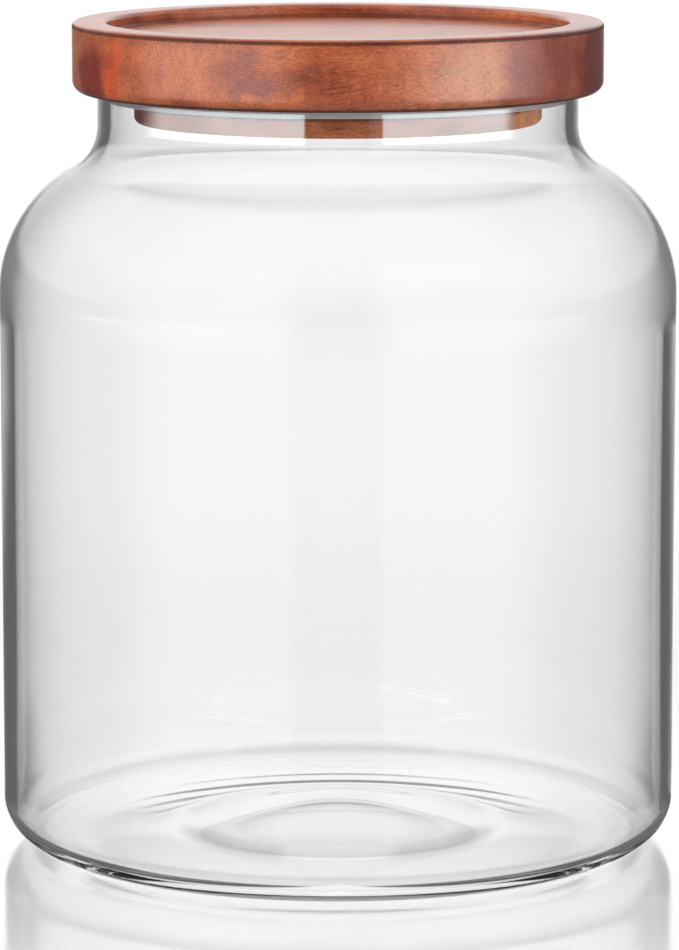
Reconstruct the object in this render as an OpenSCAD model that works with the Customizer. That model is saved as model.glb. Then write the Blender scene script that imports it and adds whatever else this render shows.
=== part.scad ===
// Glass storage canister with a turned wooden push-in lid.
// Every piece is turned about the Z axis. The table is Z = 0 and the lid is seated.

/* [Jar] */
// Outside diameter of the straight side
jar_d = 175; // [165:1:185]
// Outside diameter of the neck
neck_d = 123.8; // [120:0.2:126]
// Thickness of the glass in the side, shoulder and neck
glass_t = 3.3; // [3.0:0.1:3.6]
// Height of the glass from the table to the top of its rim
rim_z = 195.3; // [190:0.1:215]
// Height at which the straight side turns into the shoulder
shoulder_z = 143.4; // [100:0.1:144]
// Outside radius of the rounded shoulder
shoulder_r = 36.8; // [34:0.1:38]
// Outside radius of the hollow curve between shoulder and neck
throat_r = 13; // [12:0.1:14]
// Rounding of both edges of the rim, as fire polishing leaves it
rim_edge_r = 0.5; // [0.4:0.1:1.2]

/* [Base of the jar] */
// Outside radius of the heel, where the side turns into the base
heel_r = 12.4; // [10:0.1:15]
// Inside radius of the heel
inner_heel_r = 7.5; // [6:0.1:10]
// Thickness of the base at its edge, inside the heel
base_edge_t = 4; // [3.5:0.1:6]
// Thickness of the base inside that
base_t = 3.8; // [3.3:0.1:5]
// Width of the flat ring that the jar stands on
foot_w = 7; // [4:0.1:10]
// How far the underside rises between that ring and the push-up
hollow_rise = 0.9; // [0.5:0.1:1.5]
// Height of the push-up above the table, at its middle
push_up = 6.3; // [4:0.1:9]
// Radius of the push-up under the base
push_up_r = 42; // [36:0.5:50]
// Radius of the swelling that it leaves in the floor of the jar
swell_r = 46; // [40:0.5:54]

/* [Wooden lid] */
// Diameter of the lid's cap
cap_d = 136.5; // [134:0.1:140]
// Height of the cap
cap_h = 18; // [14:0.1:22]
// Gap between the glass rim and the underside of the seated cap
seat_gap = 0.1; // [0.1:0.1:0.3]
// Rounding of the cap's top edges
cap_top_edge_r = 1.2; // [0.5:0.1:2]
// Rounding of the cap's bottom edge
cap_bottom_edge_r = 3; // [0.5:0.1:4]
// Diameter of the recess turned into the top of the cap
recess_d = 118.7; // [110:0.1:122]
// Depth of that recess
recess_depth = 3.4; // [2:0.1:6]
// Rounding in the bottom corner of the recess
recess_corner_r = 0.8; // [0.3:0.1:1.5]
// Diameter of the plug glued under the cap
plug_d = 104.8; // [100:0.1:106]
// How far the plug reaches below the cap
plug_h = 7.6; // [6:0.1:10]
// Rounding of the plug's bottom edge
plug_edge_r = 1.5; // [0.5:0.1:2]

/* [Seal] */
// Height of the silicone seal, and of its groove around the plug
seal_h = 2; // [1.5:0.1:3]
// Depth of the groove around the plug
groove_depth = 1.6; // [1:0.1:2.5]
// Thickness of the seal's lip and of the web that carries it
lip_t = 0.9; // [0.7:0.1:1.1]
// Gap between the seal's lip and the glass on each side
lip_gap = 0.1; // [0.1:0.1:0.3]

/* [Hidden] */
$fn = 180;

// Steps in one rounded stretch of an outline
edge_steps = 6;
curve_steps = 20;

jar_r = jar_d / 2;
neck_r = neck_d / 2;
bore_r = neck_r - glass_t;
// The shoulder and the throat are two arcs that meet at one slope, measured from level
shoulder_slope = asin(1 - (jar_r - neck_r) / (shoulder_r + throat_r));
throat_z = shoulder_z + (shoulder_r + throat_r) * cos(shoulder_slope);

foot_outer_r = jar_r - heel_r;
foot_inner_r = foot_outer_r - foot_w;
floor_r = jar_r - glass_t - inner_heel_r;

cap_r = cap_d / 2;
cap_z = rim_z + seat_gap;
cap_top_z = cap_z + cap_h;
recess_r = recess_d / 2;
recess_z = cap_top_z - recess_depth;
plug_r = plug_d / 2;
plug_z = cap_z - plug_h;
groove_r = plug_r - groove_depth;
groove_z = cap_z - seal_h;
lip_r = bore_r - lip_gap;
lip_edge_r = lip_t / 3;

// Points on an arc about (x, z), from angle a to angle b
function arc(x, z, r, a, b, steps) =
    [for (i = [0:steps]) let (t = a + (b - a) * i / steps) [x + r * cos(t), z + r * sin(t)]];

// Points on a soft swelling over the axis, level at its foot at radius r and level at its top
function swelling(r, z, rise, steps) =
    [for (i = [0:steps]) let (t = 1 - i / steps) [r * t, z + rise * (1 + cos(180 * t)) / 2]];

function reversed(points) = [for (i = [len(points) - 1:-1:0]) points[i]];

// Blown glass jar: heel, straight side, shoulder and neck in one wall, with a pushed-up base
module glass_jar() {
    outside = concat(
        reversed(swelling(push_up_r, hollow_rise, push_up - hollow_rise, curve_steps)),
        [[foot_inner_r, 0]],
        arc(foot_outer_r, heel_r, heel_r, -90, 0, curve_steps),
        arc(jar_r - shoulder_r, shoulder_z, shoulder_r, 0, 90 - shoulder_slope, curve_steps),
        arc(neck_r + throat_r, throat_z, throat_r, 270 - shoulder_slope, 180, curve_steps)
    );
    rim = concat(
        arc(neck_r - rim_edge_r, rim_z - rim_edge_r, rim_edge_r, 0, 90, edge_steps),
        arc(bore_r + rim_edge_r, rim_z - rim_edge_r, rim_edge_r, 90, 180, edge_steps)
    );
    throat_in_r = throat_r + glass_t;
    shoulder_in_r = shoulder_r - glass_t;
    inside = concat(
        arc(neck_r + throat_r, throat_z, throat_in_r, 180, 270 - shoulder_slope, curve_steps),
        arc(jar_r - shoulder_r, shoulder_z, shoulder_in_r, 90 - shoulder_slope, 0, curve_steps),
        arc(floor_r, base_edge_t + inner_heel_r, inner_heel_r, 0, -90, curve_steps),
        swelling(swell_r, base_t, push_up, curve_steps)
    );
    color([0.86, 0.90, 0.90, 0.35])
        rotate_extrude() polygon(concat(outside, rim, inside));
}

// Soft silicone ring: a thick inner band in the plug's groove, a web, and a lip against the glass
module seal_ring() {
    band_r = plug_r;
    web_z = cap_z - lip_t;
    section = concat(
        [[groove_r, groove_z], [band_r, groove_z], [band_r, web_z]],
        [[lip_r - lip_t, web_z], [lip_r - lip_t, groove_z]],
        arc(lip_r - lip_edge_r, groove_z + lip_edge_r, lip_edge_r, -90, 0, edge_steps),
        [[lip_r, cap_z], [groove_r, cap_z]]
    );
    color([0.82, 0.82, 0.83, 0.7])
        rotate_extrude() polygon(section);
}

// Turned wooden plug, glued under the cap, with the seal's groove around its top
module lid_plug() {
    outline = concat(
        [[0, plug_z]],
        arc(plug_r - plug_edge_r, plug_z + plug_edge_r, plug_edge_r, -90, 0, edge_steps),
        [[plug_r, groove_z], [groove_r, groove_z], [groove_r, cap_z], [0, cap_z]]
    );
    color([0.52, 0.29, 0.20])
        rotate_extrude() polygon(outline);
}

// Turned wooden cap: a thick disc with a shallow recess in its top
module lid_cap() {
    outline = concat(
        [[0, cap_z]],
        arc(cap_r - cap_bottom_edge_r, cap_z + cap_bottom_edge_r, cap_bottom_edge_r, -90, 0, edge_steps),
        arc(cap_r - cap_top_edge_r, cap_top_z - cap_top_edge_r, cap_top_edge_r, 0, 90, edge_steps),
        arc(recess_r + cap_top_edge_r, cap_top_z - cap_top_edge_r, cap_top_edge_r, 90, 180, edge_steps),
        arc(recess_r - recess_corner_r, recess_z + recess_corner_r, recess_corner_r, 0, -90, edge_steps),
        [[0, recess_z]]
    );
    color([0.66, 0.34, 0.20])
        rotate_extrude() polygon(outline);
}

glass_jar();
seal_ring();
lid_plug();
lid_cap();
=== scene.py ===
import math

import bmesh
import bpy
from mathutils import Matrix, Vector, noise


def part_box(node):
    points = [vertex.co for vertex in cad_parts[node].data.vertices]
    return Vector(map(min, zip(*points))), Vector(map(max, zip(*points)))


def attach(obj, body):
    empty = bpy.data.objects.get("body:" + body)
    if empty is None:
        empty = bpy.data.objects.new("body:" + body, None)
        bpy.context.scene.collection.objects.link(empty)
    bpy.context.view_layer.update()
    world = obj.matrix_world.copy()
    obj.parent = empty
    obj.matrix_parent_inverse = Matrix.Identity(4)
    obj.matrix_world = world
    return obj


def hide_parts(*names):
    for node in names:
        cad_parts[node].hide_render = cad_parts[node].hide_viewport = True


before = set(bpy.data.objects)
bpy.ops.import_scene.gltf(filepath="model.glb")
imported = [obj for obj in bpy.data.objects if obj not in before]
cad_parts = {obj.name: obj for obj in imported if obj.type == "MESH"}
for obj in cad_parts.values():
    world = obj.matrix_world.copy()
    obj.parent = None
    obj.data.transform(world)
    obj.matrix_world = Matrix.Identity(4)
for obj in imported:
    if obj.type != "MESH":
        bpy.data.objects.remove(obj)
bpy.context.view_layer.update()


# ---------------------------------------------------------------------------------------------
# The glass jar. One piece of clear glass, blown into a turning mould, so it has no seam. Its wall is
# smooth outside and a little uneven inside, its rim is fire polished, and its base is pushed up
# inside a stippled standing ring.

jar_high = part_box("glass_jar")[1]
jar_radius = max(jar_high.x, jar_high.y)
rim_height = jar_high.z
neck_radius = 0.0619
wall = 0.0033
rim_rounding = 0.0005
shoulder_height = 0.1434
shoulder_rounding = 0.0368
throat_rounding = 0.013
heel_rounding = 0.0124
inner_heel_rounding = 0.0075
base_edge_thickness = 0.004
base_thickness = 0.0038
hollow_rise = 0.0009
push_up = 0.0063
push_up_radius = 0.042
swell_radius = 0.046
standing_ring_width = 0.007
bore_radius = neck_radius - wall
shoulder_slope = math.asin(1 - (jar_radius - neck_radius) / (shoulder_rounding + throat_rounding))
throat_height = shoulder_height + (shoulder_rounding + throat_rounding) * math.cos(shoulder_slope)
ring_outer = jar_radius - heel_rounding
ring_inner = ring_outer - standing_ring_width

heel_steps = 24
side_steps = 26
shoulder_steps = 32
throat_steps = 20
rim_steps = 8

soda_lime_ior = 1.5
wall_unevenness = 0.00009
ripple_height = 0.00003
stipple_height = 0.00001
ring_fade = 0.001
haze_starts = (0.134, 0.141)
haze_ends = (0.172, 0.184)


def arc(middle, radius, start, end, steps):
    """Points on an arc about middle, from one angle to another in degrees."""
    angles = [math.radians(start + (end - start) * i / steps) for i in range(steps + 1)]
    return [(middle[0] + radius * math.cos(a), middle[1] + radius * math.sin(a)) for a in angles]


def straight(start, end, steps):
    """Points inside a straight stretch, without its two ends."""
    shares = [i / steps for i in range(1, steps)]
    return [(start[0] + (end[0] - start[0]) * s, start[1] + (end[1] - start[1]) * s) for s in shares]


def near_ends(start, end):
    """Two points close to the ends of a straight stretch, which keep its shading flat in between."""
    points = straight(start, end, 40)
    return [points[0], points[-1]]


def swelling(foot, height, rise, steps):
    """Points on a soft swelling over the axis, level at its foot and level again at its top."""
    shares = [1 - i / steps for i in range(steps + 1)]
    return [(foot * s, height + rise * (1 + math.cos(math.pi * s)) / 2) for s in shares]


def turned(name, outline, turns):
    """A smooth piece turned about the Z axis. The outline starts and ends on the axis, or is closed."""
    mesh = bmesh.new()
    rows = []
    for radius, height in outline:
        if radius < 1e-7:
            rows.append([mesh.verts.new((0, 0, height))])
            continue
        angles = [2 * math.pi * i / turns for i in range(turns)]
        rows.append([mesh.verts.new((radius * math.cos(a), radius * math.sin(a), height)) for a in angles])
    closed = len(rows[0]) > 1 and len(rows[-1]) > 1
    pairs = list(zip(rows, rows[1:])) + ([(rows[-1], rows[0])] if closed else [])
    for below, above in pairs:
        for i in range(turns):
            j = (i + 1) % turns
            corners = [below[i % len(below)], below[j % len(below)]]
            corners += [above[j % len(above)], above[i % len(above)]]
            mesh.faces.new(list(dict.fromkeys(corners)))
    bmesh.ops.recalc_face_normals(mesh, faces=mesh.faces)
    data = bpy.data.meshes.new(name)
    mesh.to_mesh(data)
    mesh.free()
    data.shade_smooth()
    piece = bpy.data.objects.new(name, data)
    bpy.context.collection.objects.link(piece)
    return piece


def jar_outline():
    """The jar's section, from the middle of its underside round the outside and back down the inside."""
    slope = math.degrees(shoulder_slope)
    shoulder_middle = (jar_radius - shoulder_rounding, shoulder_height)
    throat_middle = (neck_radius + throat_rounding, throat_height)
    rim_under = rim_height - rim_rounding
    inner_heel_middle = (jar_radius - wall - inner_heel_rounding, base_edge_thickness + inner_heel_rounding)
    under = swelling(push_up_radius, hollow_rise, push_up - hollow_rise, 24)[::-1]
    under += straight(under[-1], (ring_inner, 0), 4) + [(ring_inner, 0)]
    heel = arc((ring_outer, heel_rounding), heel_rounding, -90, 0, heel_steps)
    shoulder = arc(shoulder_middle, shoulder_rounding, 0, 90 - slope, shoulder_steps)
    throat = arc(throat_middle, throat_rounding, 270 - slope, 180, throat_steps)
    rim = arc((neck_radius - rim_rounding, rim_under), rim_rounding, 0, 90, rim_steps)
    rim += arc((bore_radius + rim_rounding, rim_under), rim_rounding, 90, 180, rim_steps)
    throat_inside = arc(throat_middle, throat_rounding + wall, 180, 270 - slope, throat_steps)
    shoulder_inside = arc(shoulder_middle, shoulder_rounding - wall, 90 - slope, 0, shoulder_steps)
    heel_inside = arc(inner_heel_middle, inner_heel_rounding, 0, -90, heel_steps)
    floor_inside = swelling(swell_radius, base_thickness, push_up, 28)
    points = under + straight(under[-1], heel[0], 6) + heel
    points += straight(heel[-1], shoulder[0], side_steps) + shoulder + throat[1:]
    points += near_ends(throat[-1], rim[0]) + rim + near_ends(rim[-1], throat_inside[0])
    points += throat_inside + shoulder_inside[1:]
    points += straight(shoulder_inside[-1], heel_inside[0], side_steps) + heel_inside
    points += straight(heel_inside[-1], floor_inside[0], 5) + floor_inside
    return points


def unevened(piece, depth):
    """Moves the inside of the wall, and the shoulder, in and out a little, in long soft runs up the jar,
    as blowing leaves it. The side's outside, the neck and the middle of the base stay true."""
    base_middle = 0.02
    runs_round, runs_up = 3.2, 11
    for vertex in piece.data.vertices:
        across = math.hypot(vertex.co.x, vertex.co.y)
        if across < base_middle or across > jar_radius - wall / 2 or vertex.co.z < base_edge_thickness:
            continue
        if across < bore_radius + 2 * wall and vertex.co.z > shoulder_height:
            continue
        spot = (vertex.co.x / across * runs_round, vertex.co.y / across * runs_round, vertex.co.z * runs_up)
        depth_in_wall = (jar_radius - across) / wall
        inside = min(1.0, max(0.0, depth_in_wall - 0.2))
        shift = depth * inside * noise.noise(Vector(spot))
        vertex.co.x *= 1 + shift / across
        vertex.co.y *= 1 + shift / across


def material_of(name):
    """A new material with an empty node tree, and the tree."""
    made = bpy.data.materials.new(name)
    made.use_nodes = True
    made.node_tree.nodes.clear()
    return made, made.node_tree


def put(tree, kind, settings=None, **inputs):
    """A node of that kind with its settings, and its inputs set to values or linked to other nodes'
    outputs. An input goes by its name, with _ for a space, or by its number, as n0."""
    node = tree.nodes.new(kind)
    for key, value in (settings or {}).items():
        setattr(node, key, value)
    for key, value in inputs.items():
        by_number = key[0] == "n" and key[1:].isdigit()
        socket = node.inputs[int(key[1:]) if by_number else key.replace("_", " ")]
        if isinstance(value, bpy.types.NodeSocket):
            tree.links.new(value, socket)
        else:
            socket.default_value = value
    return node


def result_of(tree, operation, *values):
    """The result of one Math node. A value is a number or another node's output."""
    inputs = {f"n{i}": value for i, value in enumerate(values)}
    return put(tree, "ShaderNodeMath", {"operation": operation}, **inputs).outputs[0]


def product(tree, first, *others):
    """Two or more values multiplied together."""
    for other in others:
        first = result_of(tree, "MULTIPLY", first, other)
    return first


def highest(tree, first, *others):
    """The highest of two or more values."""
    for other in others:
        first = result_of(tree, "MAXIMUM", first, other)
    return first


def between(tree, value, low, high, out_low=0.0, out_high=1.0):
    """value spread smoothly from low..high to out_low..out_high, and held beyond them."""
    node = put(tree, "ShaderNodeMapRange", {"interpolation_type": "SMOOTHSTEP"}, Value=value,
               From_Min=low, From_Max=high, To_Min=out_low, To_Max=out_high)
    return node.outputs[0]


def length_of(tree, vector):
    """The length of a vector."""
    return put(tree, "ShaderNodeVectorMath", {"operation": "LENGTH"}, n0=vector).outputs["Value"]


def across_and_up(tree, place):
    """How far a place is from the Z axis, and how high it is."""
    parts = put(tree, "ShaderNodeSeparateXYZ", Vector=place)
    flat = put(tree, "ShaderNodeCombineXYZ", X=parts.outputs["X"], Y=parts.outputs["Y"])
    return length_of(tree, flat.outputs[0]), parts.outputs["Z"]


def clear_glass():
    """Clear soda-lime glass with a faint ripple, a thin haze on the shoulder, and stippling on the
    ring that the jar stands on."""
    made, tree = material_of("clear blown glass")
    place = put(tree, "ShaderNodeNewGeometry").outputs["Position"]
    across, up = across_and_up(tree, place)
    on_ring = product(tree, between(tree, across, ring_inner + ring_fade, ring_inner + 2 * ring_fade),
                      between(tree, across, ring_outer + ring_fade, ring_outer + 2 * ring_fade, 1.0, 0.0),
                      between(tree, up, 0.0004, 0.0010, 1.0, 0.0))
    dots = put(tree, "ShaderNodeTexVoronoi", {"feature": "F1"}, Vector=place, Scale=1400.0)
    stipple = product(tree, between(tree, dots.outputs["Distance"], 0.1, 0.45, 1.0, 0.0), on_ring)
    ripple = put(tree, "ShaderNodeTexNoise", Vector=place, Scale=22.0, Detail=1.0).outputs["Fac"]
    relief = result_of(tree, "MULTIPLY_ADD", stipple, stipple_height, product(tree, ripple, ripple_height))
    bump = put(tree, "ShaderNodeBump", Height=relief, Distance=1.0, Strength=1.0)
    smear = put(tree, "ShaderNodeTexNoise", Vector=place, Scale=30.0, Detail=4.0).outputs["Fac"]
    shoulder = product(tree, between(tree, up, *haze_starts), between(tree, up, *haze_ends, 1.0, 0.0))
    haze = product(tree, shoulder, between(tree, smear, 0.3, 0.7, 0.10, 0.17))
    glass = put(tree, "ShaderNodeBsdfPrincipled", Base_Color=(0.99, 0.99, 0.99, 1), Roughness=haze,
                IOR=soda_lime_ior, Transmission_Weight=1.0, Normal=bump.outputs[0])
    path = put(tree, "ShaderNodeLightPath")
    lets_light = highest(tree, path.outputs["Is Shadow Ray"], path.outputs["Is Diffuse Ray"])
    clear = put(tree, "ShaderNodeBsdfTransparent", Color=(0.95, 0.96, 0.96, 1))
    mixed = put(tree, "ShaderNodeMixShader", n0=lets_light, n1=glass.outputs[0], n2=clear.outputs[0])
    put(tree, "ShaderNodeOutputMaterial", Surface=mixed.outputs[0])
    return made


jar = turned("blown_glass_jar", jar_outline(), turns=320)
unevened(jar, wall_unevenness)
jar.data.materials.append(clear_glass())
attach(jar, "jar")
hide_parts("glass_jar")


# ---------------------------------------------------------------------------------------------
# The cap of the lid. A thick disc of acacia, turned on a lathe with a shallow recess in its top,
# its edges eased with sandpaper, then sprayed with satin lacquer. The grain runs along X.

cap_low, cap_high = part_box("lid_cap")
cap_radius = max(cap_high.x, cap_high.y)
cap_under = cap_low.z
cap_top = cap_high.z
recess_radius = 0.05935
recess_depth = 0.0034
recess_floor = cap_top - recess_depth
recess_corner = 0.0008
cap_top_easing = 0.0012
cap_bottom_easing = 0.003
easing_steps = 8

fibre_height = 0.00002
pore_depth = 0.00003


def tone(red, green, blue):
    """A colour given as 0 to 255 on a screen, as the shader's own linear values."""
    shares = [channel / 255 for channel in (red, green, blue)]
    linear = [s / 12.92 if s <= 0.04045 else ((s + 0.055) / 1.055) ** 2.4 for s in shares]
    return (*linear, 1)


fleck = tone(236, 160, 104)
honey = tone(197, 129, 89)
amber = tone(190, 108, 64)
rust = tone(172, 86, 48)
russet = tone(156, 76, 46)
umber = tone(134, 58, 34)
plum = tone(132, 66, 54)
mauve = tone(148, 80, 70)
wine = tone(104, 32, 22)
ember = tone(196, 72, 28)
burnt = tone(118, 30, 8)
char = tone(84, 31, 20)
# the dark tone of the painted shade and shadow in edges and corners
painted_shade_tone = tone(54, 20, 13)

# Each patch of the wood's figure is a middle and a reach in mm, a tone and a strength.
cap_patches = [
    ((-66, -18, 207), (6, 18, 8), amber, 0.6),
    ((-63, -27, 200), (8, 18, 13), burnt, 1.0),
    ((-56, -38, 201), (6, 12, 12), ember, 0.85),
    ((-50, -46, 203), (9, 14, 12), rust, 0.7),
    ((-38, -57, 206), (12, 16, 9), amber, 0.5),
    ((-22, -64, 208), (6, 10, 4), plum, 0.8),
    ((-21, -65, 202), (7, 10, 5), plum, 0.9),
    ((-12, -67, 201), (6, 10, 5), russet, 0.7),
    ((-2, -68, 202), (9, 14, 9), umber, 0.7),
    ((7, -68, 202), (7, 12, 9), russet, 0.75),
    ((19, -66, 204), (7, 12, 12), amber, 0.7),
    ((33, -59, 204), (15, 20, 14), honey, 0.7),
    ((48, -48, 205), (11, 16, 16), mauve, 0.95),
    ((56, -39, 204), (8, 14, 18), plum, 1.0),
    ((65, -22, 203), (12, 24, 24), wine, 1.0),
    ((60, 30, 206), (14, 18, 9), amber, 0.6),
    ((-58, 34, 205), (13, 16, 9), umber, 0.7),
]

# Painted shade, as dark rings with thinner lacquer: a radius, a height, a reach and a strength.
# The rings paint shade in the line under the eased top edge, under the bottom edge's rounding and in the
# recess's corner.
cap_painted_shade_rings = [
    (cap_radius - 0.0001, cap_top - 0.0009, 0.0007, 0.8),
    (cap_radius - 0.0022, cap_under - 0.0002, 0.0022, 0.95),
    (recess_radius - 0.0002, recess_floor + 0.0003, 0.0010, 0.6),
]


def cap_outline():
    """The cap's section, from the middle of its underside to the middle of the recess's floor."""
    bottom_middle = (cap_radius - cap_bottom_easing, cap_under + cap_bottom_easing)
    bottom = arc(bottom_middle, cap_bottom_easing, -90, 0, easing_steps)
    top_middle = (cap_radius - cap_top_easing, cap_top - cap_top_easing)
    top = arc(top_middle, cap_top_easing, 0, 90, easing_steps)
    lip_middle = (recess_radius + cap_top_easing, cap_top - cap_top_easing)
    lip = arc(lip_middle, cap_top_easing, 90, 180, easing_steps)
    corner = arc((recess_radius - recess_corner, recess_floor + recess_corner), recess_corner, 0, -90, 6)
    points = [(0, cap_under)] + straight((0, cap_under), bottom[0], 24) + bottom
    points += straight(bottom[-1], top[0], 12) + top + straight(top[-1], lip[0], 8) + lip
    points += straight(lip[-1], corner[0], 3) + corner
    points += straight(corner[-1], (0, recess_floor), 24) + [(0, recess_floor)]
    return points


def vector_of(tree, operation, *vectors, **others):
    """The result of one Vector Math node. A vector is three numbers or another node's output."""
    inputs = {f"n{i}": vector for i, vector in enumerate(vectors)}
    return put(tree, "ShaderNodeVectorMath", {"operation": operation}, **inputs, **others).outputs[0]


def blended(tree, share, first, second):
    """One colour over another. share, first and second are values or other nodes' outputs."""
    return put(tree, "ShaderNodeMix", {"data_type": "RGBA"}, n0=share, n6=first, n7=second).outputs[2]


def stretched(tree, place, along, across):
    """place scaled so that one unit is one spot of a pattern, long along the grain and thin across it."""
    scale = (1 / along, 1 / across, 1 / across)
    return put(tree, "ShaderNodeMapping", {"vector_type": "POINT"}, Vector=place, Scale=scale).outputs[0]


def patch(tree, place, middle, reach):
    """1 in the middle of an oval patch of the board, falling softly to 0 at its reach. Both are in mm."""
    apart = vector_of(tree, "SUBTRACT", place, [v / 1000 for v in middle])
    share = vector_of(tree, "DIVIDE", apart, [v / 1000 for v in reach])
    return between(tree, length_of(tree, share), 0.25, 1.0, 1.0, 0.0)


def grain_noise(tree, place, along, across, detail, roughness=0.5):
    """Noise whose spots are that long along the grain and that wide across it, in metres."""
    node = put(tree, "ShaderNodeTexNoise", Vector=stretched(tree, place, along, across), Scale=1.0,
               Detail=detail, Roughness=roughness)
    return node.outputs["Fac"]


def acacia(name, cut_from, patches, painted_shade_rings, lacquer, gloss):
    """Lacquered acacia with its grain along X. cut_from shifts it to another part of the board,
    lacquer is how thickly it is sprayed, and gloss is the lacquer's roughness."""
    made, tree = material_of(name)
    own = put(tree, "ShaderNodeTexCoord").outputs["Object"]

    # near strays from the piece's own place, for patches with ragged edges, and board is that place
    # in the plank it was cut from, which drifts slowly so that the grain isn't ruler straight.
    sway = put(tree, "ShaderNodeTexNoise", Vector=own, Scale=90.0, Detail=5.0, Roughness=0.65)
    sway = vector_of(tree, "SUBTRACT", sway.outputs["Color"], (0.5, 0.5, 0.5))
    near = vector_of(tree, "ADD", own, vector_of(tree, "SCALE", sway, Scale=0.016))
    board = vector_of(tree, "ADD", own, cut_from)
    slow = put(tree, "ShaderNodeTexNoise", Vector=stretched(tree, board, 0.035, 0.02), Scale=1.0, Detail=2.0)
    board = vector_of(tree, "ADD", board, vector_of(tree, "SCALE", slow.outputs["Color"], Scale=0.008))

    # The board's own colour: growth rings and clouds from umber to amber, and the patches over them.
    growth = {"wave_type": "RINGS", "rings_direction": "X", "wave_profile": "SIN"}
    rings = put(tree, "ShaderNodeTexWave", growth, Vector=board, Scale=38.0, Distortion=1.5, Detail=2.0)
    clouds = grain_noise(tree, board, 0.016, 0.007, 5.0, 0.6)
    ramp = put(tree, "ShaderNodeValToRGB",
               Fac=result_of(tree, "MULTIPLY_ADD", rings.outputs["Fac"], 0.14, product(tree, clouds, 0.95)))
    dark, light = ramp.color_ramp.elements
    dark.position, dark.color = 0.32, umber
    light.position, light.color = 0.76, amber
    ramp.color_ramp.elements.new(0.53).color = rust
    plum_clouds = between(tree, grain_noise(tree, board, 0.013, 0.009, 4.0), 0.56, 0.70, 0.0, 0.5)
    colour = blended(tree, plum_clouds, ramp.outputs["Color"], plum)
    for middle, reach, shade, strength in patches:
        colour = blended(tree, product(tree, patch(tree, near, middle, reach), strength), colour, shade)

    # Fibres, hairs, shimmer and specks make it lighter and darker.
    shimmer = grain_noise(tree, board, 0.003, 0.009, 3.0)
    fibres = grain_noise(tree, board, 0.0065, 0.00034, 3.0, 0.6)
    hairs = grain_noise(tree, board, 0.0020, 0.00018, 2.0, 0.6)
    specks = grain_noise(tree, board, 0.0008, 0.0006, 3.0, 0.6)
    lift = 1.0
    for pattern, strength in ((fibres, 1.3), (hairs, 0.9), (shimmer, 0.7), (specks, 1.1)):
        lift = result_of(tree, "MULTIPLY_ADD", result_of(tree, "SUBTRACT", pattern, 0.5), strength, lift)
    colour = vector_of(tree, "SCALE", colour, Scale=lift)

    # Dark streaks in bunches, then cut vessels: dark pores, and flecks where they caught the light.
    bunches = grain_noise(tree, board, 0.020, 0.006, 2.0)
    streaks = between(tree, grain_noise(tree, board, 0.0110, 0.00045, 2.0, 0.5), 0.56, 0.66)
    streaks = product(tree, streaks, between(tree, bunches, 0.44, 0.62))
    colour = blended(tree, product(tree, streaks, 0.42), colour, char)
    vessels = put(tree, "ShaderNodeTexVoronoi", {"feature": "F1"}, Scale=1.0, Randomness=1.0,
                  Vector=stretched(tree, board, 0.0035, 0.00070))
    chosen = put(tree, "ShaderNodeSeparateColor", Color=vessels.outputs["Color"]).outputs["Red"]
    spot = between(tree, vessels.outputs["Distance"], 0.10, 0.24, 1.0, 0.0)
    pores = product(tree, spot, between(tree, chosen, 0.50, 0.56))
    flecks = product(tree, spot, between(tree, chosen, 0.20, 0.14))
    colour = blended(tree, product(tree, pores, 0.55), colour, char)
    colour = blended(tree, product(tree, flecks, 0.35), colour, fleck)

    # Painted shade: rings of a dark tone along edges and corners where shade falls, with less lacquer there
    # so that they shine less.
    across, up = across_and_up(tree, own)
    painted_shade = 0.0
    for radius, height, reach, strength in painted_shade_rings:
        apart = put(tree, "ShaderNodeCombineXYZ", X=result_of(tree, "SUBTRACT", across, radius),
                    Z=result_of(tree, "SUBTRACT", up, height))
        ring = between(tree, length_of(tree, apart.outputs[0]), reach * 0.4, reach, strength, 0.0)
        painted_shade = highest(tree, painted_shade, ring)
    colour = blended(tree, painted_shade, colour, painted_shade_tone)

    relief = result_of(tree, "MULTIPLY_ADD", pores, -pore_depth, product(tree, fibres, fibre_height))
    bump = put(tree, "ShaderNodeBump", Height=relief, Distance=1.0, Strength=0.6)
    wood = put(tree, "ShaderNodeBsdfPrincipled", Base_Color=colour, Normal=bump.outputs[0],
               Roughness=between(tree, fibres, 0.3, 0.7, 0.45, 0.60), Specular_IOR_Level=0.15,
               Coat_Weight=product(tree, result_of(tree, "SUBTRACT", 1.0, painted_shade), lacquer),
               Coat_Roughness=gloss)
    put(tree, "ShaderNodeOutputMaterial", Surface=wood.outputs[0])
    return made


cap = turned("turned_acacia_cap", cap_outline(), turns=256)
cap.data.materials.append(acacia("acacia of the cap", cut_from=(0.02, 0.055, 0.13), patches=cap_patches,
                                 painted_shade_rings=cap_painted_shade_rings, lacquer=1.0, gloss=0.24))
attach(cap, "lid")
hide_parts("lid_cap")


# ---------------------------------------------------------------------------------------------
# The plug of the lid. A thinner acacia disc glued under the cap, which reaches into the neck. A
# groove round the top of its edge holds the seal, and its bottom edge is rounded over.

plug_low, plug_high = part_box("lid_plug")
plug_radius = max(plug_high.x, plug_high.y)
plug_under = plug_low.z
plug_edge_rounding = 0.0015
groove_height = 0.002
groove_depth = 0.0016
groove_floor = cap_under - groove_height
groove_radius = plug_radius - groove_depth
crisp_angle = 40

straw = tone(230, 158, 112)
plug_patches = [
    ((-50, -14, 191), (9, 24, 8), wine, 0.8),
    ((0, -52, 191), (32, 16, 8), amber, 0.8),
    ((49, -18, 191), (10, 26, 8), straw, 0.95),
    ((-46, 26, 191), (14, 18, 8), amber, 0.6),
]
# Painted shadow of the seal's lip on the plug's edge, just below the groove.
plug_painted_shadow_rings = [(plug_radius, groove_floor - 0.0006, 0.0010, 0.6)]


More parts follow.
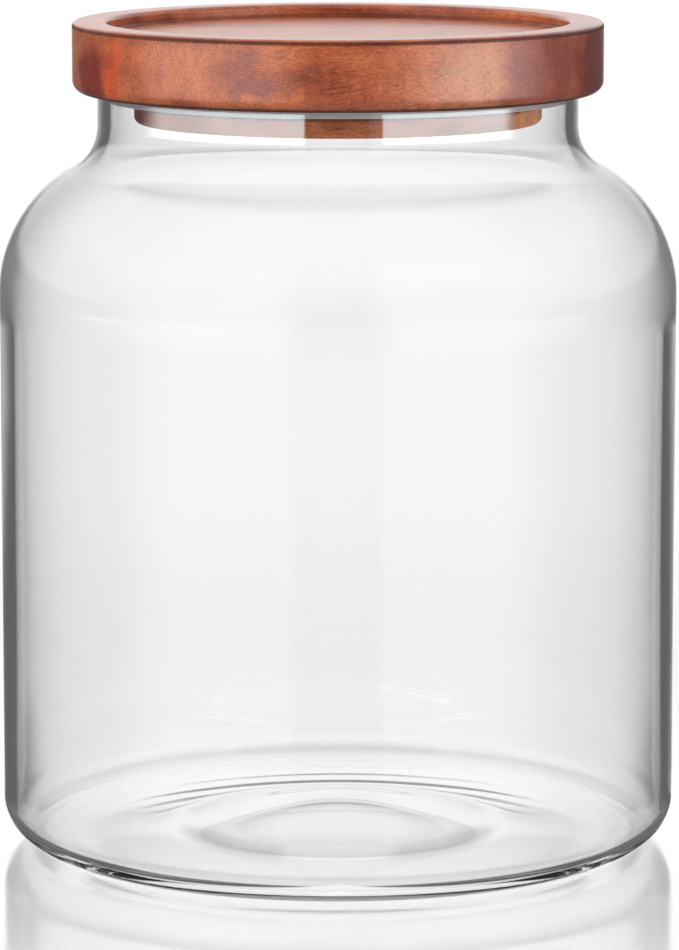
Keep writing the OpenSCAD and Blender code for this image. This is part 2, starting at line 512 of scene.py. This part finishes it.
def plug_outline():
    """The plug's section, from the middle of its underside to the glue line under the cap."""
    edge_middle = (plug_radius - plug_edge_rounding, plug_under + plug_edge_rounding)
    edge = arc(edge_middle, plug_edge_rounding, -90, 0, easing_steps)
    points = [(0, plug_under)] + straight((0, plug_under), edge[0], 20) + edge
    points += straight(edge[-1], (plug_radius, groove_floor), 6) + [(plug_radius, groove_floor)]
    points += [(groove_radius, groove_floor), (groove_radius, cap_under), (0, cap_under)]
    return points


def hard_edged(piece, angle):
    """Keeps the corners of a piece sharper than that angle as crisp edges."""
    piece.data.set_sharp_from_angle(angle=math.radians(angle))


plug = turned("turned_acacia_plug", plug_outline(), turns=256)
hard_edged(plug, crisp_angle)
plug.data.materials.append(acacia("acacia of the plug", cut_from=(0.31, 0.09, 0.05), patches=plug_patches,
                                  painted_shade_rings=plug_painted_shadow_rings, lacquer=0.3, gloss=0.26))
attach(plug, "lid")
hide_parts("lid_plug")


# ---------------------------------------------------------------------------------------------
# The seal. One ring of soft milky silicone, moulded with a thick band that sits in the plug's
# groove, a thin web, and a lip that bears on the inside of the neck.

seal_low, seal_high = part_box("seal_ring")
lip_radius = max(seal_high.x, seal_high.y)
seal_under = seal_low.z
lip_thickness = 0.0009
lip_edge = lip_thickness / 3
silicone_ior = 1.41
dust_height = 0.00002


def seal_outline():
    """The ring's closed section: up the band, along the web, down the lip and round its edge."""
    web_under = cap_under - lip_thickness
    lip_inside = lip_radius - lip_thickness
    points = [(groove_radius, seal_under), (plug_radius, seal_under), (plug_radius, web_under)]
    points += straight(points[-1], (lip_inside, web_under), 4) + [(lip_inside, web_under)]
    points += [(lip_inside, seal_under)]
    points += arc((lip_radius - lip_edge, seal_under + lip_edge), lip_edge, -90, 0, 5)
    points += straight(points[-1], (lip_radius, cap_under), 4)
    return points + [(lip_radius, cap_under), (groove_radius, cap_under)]


def milky_silicone():
    """Soft silicone that lets blurred light through, a little cloudy and dusty."""
    made, tree = material_of("milky silicone")
    place = put(tree, "ShaderNodeTexCoord").outputs["Object"]
    cloudy = put(tree, "ShaderNodeTexNoise", Vector=place, Scale=160.0, Detail=4.0).outputs["Fac"]
    specks = put(tree, "ShaderNodeTexNoise", Vector=place, Scale=2400.0, Detail=2.0).outputs["Fac"]
    colour = put(tree, "ShaderNodeValToRGB", Fac=cloudy)
    colour.color_ramp.elements[0].color = (0.72, 0.68, 0.70, 1)
    colour.color_ramp.elements[1].color = (0.88, 0.84, 0.86, 1)
    bump = put(tree, "ShaderNodeBump", Height=product(tree, specks, dust_height), Distance=1.0)
    rubber = put(tree, "ShaderNodeBsdfPrincipled", Base_Color=colour.outputs["Color"], Normal=bump.outputs[0],
                 Roughness=between(tree, cloudy, 0.3, 0.7, 0.28, 0.42), IOR=silicone_ior,
                 Transmission_Weight=0.4)
    path = put(tree, "ShaderNodeLightPath")
    clear = put(tree, "ShaderNodeBsdfTransparent", Color=(0.6, 0.6, 0.6, 1))
    mixed = put(tree, "ShaderNodeMixShader", n0=path.outputs["Is Shadow Ray"], n1=rubber.outputs[0],
                n2=clear.outputs[0])
    put(tree, "ShaderNodeOutputMaterial", Surface=mixed.outputs[0])
    return made


seal = turned("silicone_seal", seal_outline(), turns=256)
hard_edged(seal, crisp_angle)
seal.data.materials.append(milky_silicone())
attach(seal, "lid")
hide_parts("seal_ring")


# ---------------------------------------------------------------------------------------------
# The table and the studio. A glossy white sheet that fades into a white surround, soft lamps on
# both sides and above, and panels round the lid that show only as the shine on its lacquer.

table_radius = 0.60
table_full = 0.26
table_gap = 0.0002
mirror_full = 0.10
mirror_gone = 0.26
dark_sides = 0.12
fill_light = 0.40
window_light = (5.6, 6.2, 6.4, 1)
panel_aim = (0, 0, 0.2)
panel_height = 0.40


def swing(tree, bearing, low, high, out_low=0.0, out_high=1.0):
    """between, for a bearing, with its bounds given in degrees."""
    return between(tree, bearing, math.radians(low), math.radians(high), out_low, out_high)


def shows(tree, path):
    """1 for what the camera sees, straight on or in gloss or through glass, and 0 for what only lights."""
    return highest(tree, path.outputs["Is Camera Ray"], path.outputs["Is Glossy Ray"],
                   path.outputs["Is Transmission Ray"])


def studio_white():
    """A white surround. Reflections find a white screen behind the jar, dark sides, a grey room in
    front with a dimmer middle, and a low strip of window light on both sides of that middle."""
    world = bpy.data.worlds.new("studio")
    bpy.context.scene.world = world
    world.use_nodes = True
    tree = world.node_tree
    tree.nodes.clear()
    path = put(tree, "ShaderNodeLightPath")
    mirrored = result_of(tree, "GREATER_THAN", path.outputs["Glossy Depth"], 0.5)
    way = put(tree, "ShaderNodeSeparateXYZ", Vector=put(tree, "ShaderNodeTexCoord").outputs["Generated"])
    up = way.outputs["Z"]

    # A bearing is 0 straight behind the jar and 180 degrees in front of it, and negative on the left.
    bearing = result_of(tree, "ARCTAN2", way.outputs["X"], way.outputs["Y"])
    turn = result_of(tree, "ABSOLUTE", bearing)
    screen = product(tree, swing(tree, turn, 8, 15, 1.0, 0.0), between(tree, up, 0.27, 0.31, 1.0, 0.15))
    middle = between(tree, up, -0.125, -0.105, 0.62, 0.2)
    middle = blended(tree, swing(tree, turn, 163, 166), (1, 1, 1, 1), middle)
    front = product(tree, swing(tree, turn, 85, 125, 0.0, 0.6), middle)
    above = between(tree, up, 0.12, 0.6)
    below = between(tree, up, -0.40, -0.25, 0.15, 0.0)
    first_bounces = result_of(tree, "LESS_THAN", path.outputs["Ray Depth"], 2.5)
    sheen = product(tree, between(tree, up, 0.04, 0.12), first_bounces, swing(tree, turn, 100, 150, 1.1, 0.0))
    room = highest(tree, screen, front, dark_sides, above, below, sheen)
    seen = put(tree, "ShaderNodeMix", {"data_type": "FLOAT"}, n0=mirrored, n2=1.0, n3=room)

    left = product(tree, swing(tree, bearing, -164.5, -163.5), swing(tree, bearing, -90, -70, 1.0, 0.0),
                   swing(tree, bearing, -125, -92, 1.0, 0.65))
    right = product(tree, swing(tree, bearing, 158, 159, 1.0, 0.0), swing(tree, bearing, 85, 95))
    low = product(tree, between(tree, up, -0.0975, -0.0965), between(tree, up, -0.0875, -0.0865, 1.0, 0.0))
    window = product(tree, low, result_of(tree, "ADD", left, right), mirrored)
    tint = blended(tree, window, seen.outputs[0], window_light)

    white = put(tree, "ShaderNodeBackground", Color=tint)
    fill = put(tree, "ShaderNodeBackground", Color=(1, 1, 1, 1), Strength=fill_light)
    mixed = put(tree, "ShaderNodeMixShader", n0=shows(tree, path), n1=fill.outputs[0], n2=white.outputs[0])
    put(tree, "ShaderNodeOutputWorld", Surface=mixed.outputs[0])


def table_sheet():
    """Glossy white acrylic, fading out before its edge and letting light from inside the glass by."""
    made, tree = material_of("white table")
    place = put(tree, "ShaderNodeTexCoord").outputs["Object"]
    across = length_of(tree, place)
    path = put(tree, "ShaderNodeLightPath")
    matte = put(tree, "ShaderNodeBsdfDiffuse", Color=(0.93, 0.93, 0.93, 1))
    glow = put(tree, "ShaderNodeEmission", Color=(1, 1, 1, 1), Strength=1.0)
    white = put(tree, "ShaderNodeMixShader", n0=product(tree, shows(tree, path), 0.75),
                n1=matte.outputs[0], n2=glow.outputs[0])
    grain = put(tree, "ShaderNodeTexNoise", Vector=place, Scale=40.0, Detail=3.0).outputs["Fac"]
    polish = put(tree, "ShaderNodeBsdfAnisotropic", Color=(0.98, 0.98, 0.98, 1),
                 Roughness=between(tree, grain, 0.3, 0.7, 0.10, 0.14))
    facing = put(tree, "ShaderNodeLayerWeight", Blend=0.5).outputs["Facing"]
    shine = product(tree, between(tree, facing, 0.45, 0.9, 0.05, 0.65),
                    between(tree, across, mirror_full, mirror_gone, 1.0, 0.0))
    polished = put(tree, "ShaderNodeMixShader", n0=shine, n1=white.outputs[0], n2=polish.outputs[0])
    mirrored = result_of(tree, "GREATER_THAN", path.outputs["Glossy Depth"], 0.5)
    gone = highest(tree, between(tree, across, table_full, table_radius), mirrored)
    clear = put(tree, "ShaderNodeBsdfTransparent")
    mixed = put(tree, "ShaderNodeMixShader", n0=gone, n1=polished.outputs[0], n2=clear.outputs[0])
    put(tree, "ShaderNodeOutputMaterial", Surface=mixed.outputs[0])
    return made


def soft_light(name, place, aim, width, height, power, unseen_by):
    """A soft flat light aimed at a point. The kinds of ray in unseen_by don't see it."""
    light = bpy.data.lights.new(name, "AREA")
    light.shape = "RECTANGLE"
    light.size = width
    light.size_y = height
    light.energy = power
    made = bpy.data.objects.new(name, light)
    bpy.context.collection.objects.link(made)
    made.location = place
    made.rotation_euler = (Vector(aim) - Vector(place)).to_track_quat("-Z", "Y").to_euler()
    for ray in unseen_by:
        setattr(made, "visible_" + ray, False)
    return made


def lamp(name, place, aim, size, power):
    """A soft square lamp that lights the piece, and doesn't show in gloss or glass."""
    soft_light(name, place, aim, size, size, power, unseen_by=("camera", "glossy", "transmission"))


def shine_on(receivers, name, place, width, power):
    """A soft panel that shows only in the lacquer of the pieces that receive it."""
    panel = soft_light(name, place, panel_aim, width, panel_height, power,
                       unseen_by=("camera", "diffuse", "transmission"))
    panel.light_linking.receiver_collection = receivers


table = turned("white_table", straight((0, 0), (table_radius, 0), 24)[::-1] + [(0, 0)], turns=96)
table.location.z = -table_gap
table.data.materials.append(table_sheet())
studio_white()
lacquered = bpy.data.collections.new("lacquered pieces")
lacquered.objects.link(cap)
shine_on(lacquered, "left shine", (-0.494, -0.352, 0.16), width=0.76, power=1.5)
shine_on(lacquered, "right shine", (0.525, -0.303, 0.16), width=0.67, power=1.25)
shine_on(lacquered, "inner right shine", (0.511, -0.326, 0.16), width=0.38, power=0.8)
lamp("left lamp", (-1.1, -0.9, 0.9), aim=(0, 0, 0.12), size=0.9, power=17)
lamp("right lamp", (1.25, -0.85, 0.42), aim=(0, 0, 0.14), size=0.9, power=9)
lamp("top lamp", (0, 0.2, 1.5), aim=(0, 0, 0.1), size=1.2, power=4)


# ---------------------------------------------------------------------------------------------
# The camera. A long lens, a little above the lid, tilted down at the middle of the jar. Light is
# followed through enough layers of glass for both walls and the base.

camera_back = 1.3558
camera_height = 0.3112
camera_aside = 0.0004
camera_tilt = 9.05
lens_length = 200
sensor_width = 36

view = bpy.data.cameras.new("camera")
view.lens = lens_length
view.sensor_width = sensor_width
view.clip_start = 0.05
camera = bpy.data.objects.new("camera", view)
bpy.context.collection.objects.link(camera)
camera.location = (camera_aside, -camera_back, camera_height)
camera.rotation_euler = (math.radians(90 - camera_tilt), 0, 0)
bpy.context.scene.camera = camera
bpy.context.scene.view_settings.view_transform = "Standard"
bpy.context.scene.cycles.max_bounces = 32
bpy.context.scene.cycles.glossy_bounces = 24
bpy.context.scene.cycles.transmission_bounces = 24
